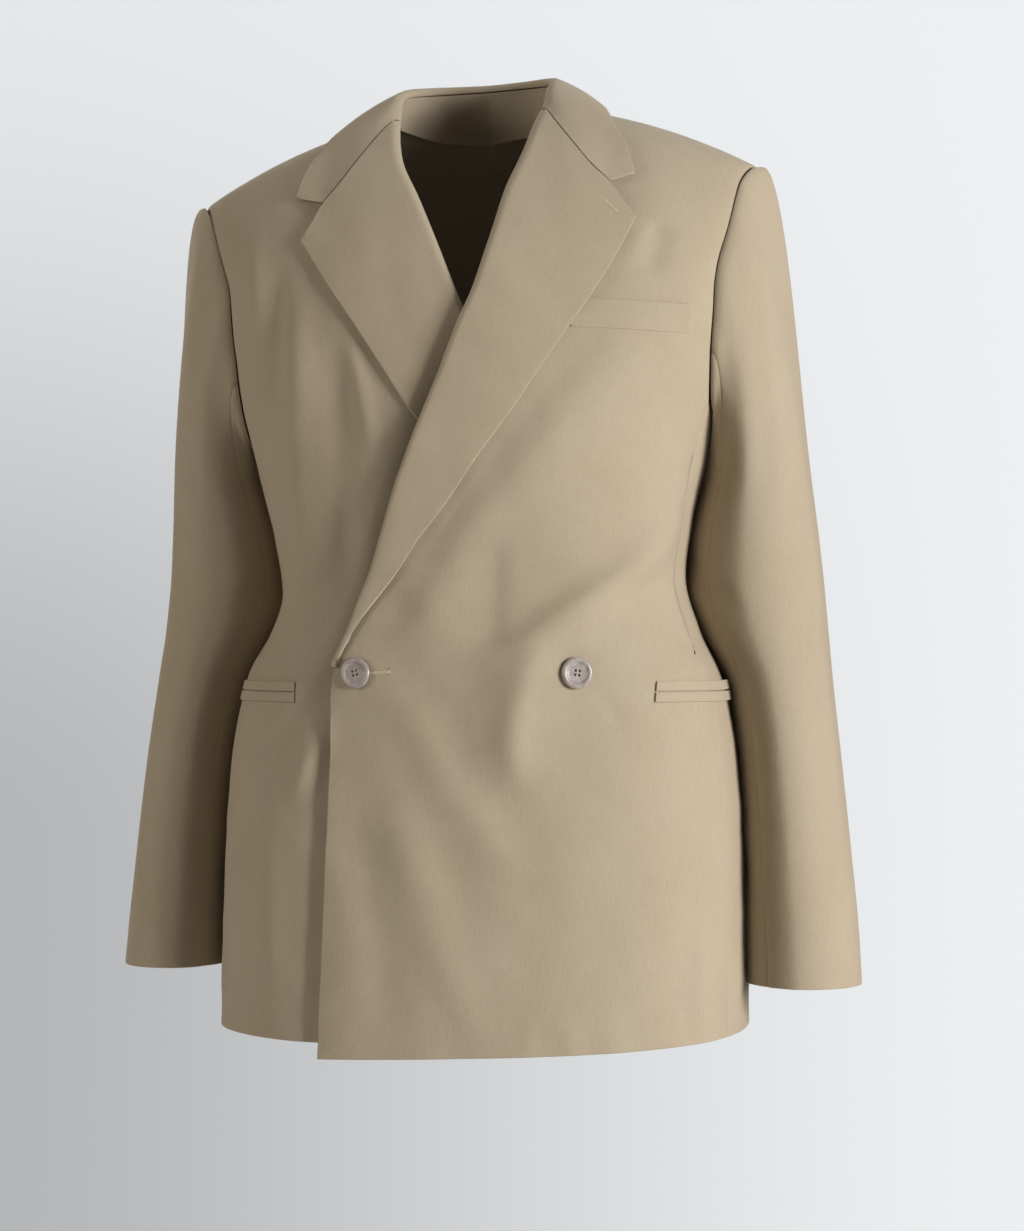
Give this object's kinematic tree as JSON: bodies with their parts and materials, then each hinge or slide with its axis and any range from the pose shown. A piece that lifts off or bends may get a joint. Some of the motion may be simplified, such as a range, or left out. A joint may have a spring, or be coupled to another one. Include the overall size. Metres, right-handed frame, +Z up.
{
  "type": "double breasted blazer",
  "caption": "Double breasted blazer in plain taupe wool, closed on its button, in the hollow form it has when worn, with notched lapels, a welt pocket and jetted hip pockets.",
  "frame": {"origin": "the centre of the shoulder line at the base of the neck, where the shoulders of a wearer carry the blazer", "axes": "+Z up along the back, the front faces -Y, and the wearer's left side is +X"},
  "size_m": [0.6111, 0.3019, 0.7918],
  "materials": {
    "cloth": "fine plain-woven tropical wool in taupe, with a faint vertical slub and a slight sheen",
    "button": "polished horn-like resin, grey mauve, with a raised rim, a dished middle and four holes"
  },
  "bodies": {
    "root": {"back_left": "cloth", "back_right": "cloth", "side_left": "cloth", "side_right": "cloth", "front_left": "cloth", "front_right": "cloth", "lapel_left": "cloth", "lapel_right": "cloth", "collar_fall": "cloth", "collar_stand": "cloth", "sleeve_top_left": "cloth", "sleeve_top_right": "cloth", "sleeve_under_left": "cloth", "sleeve_under_right": "cloth", "chest_welt": "cloth", "jet_upper_left": "cloth", "jet_upper_right": "cloth", "jet_lower_left": "cloth", "jet_lower_right": "cloth", "button_fastened": "button", "button_inner": "button"}
  },
  "joints": []
}
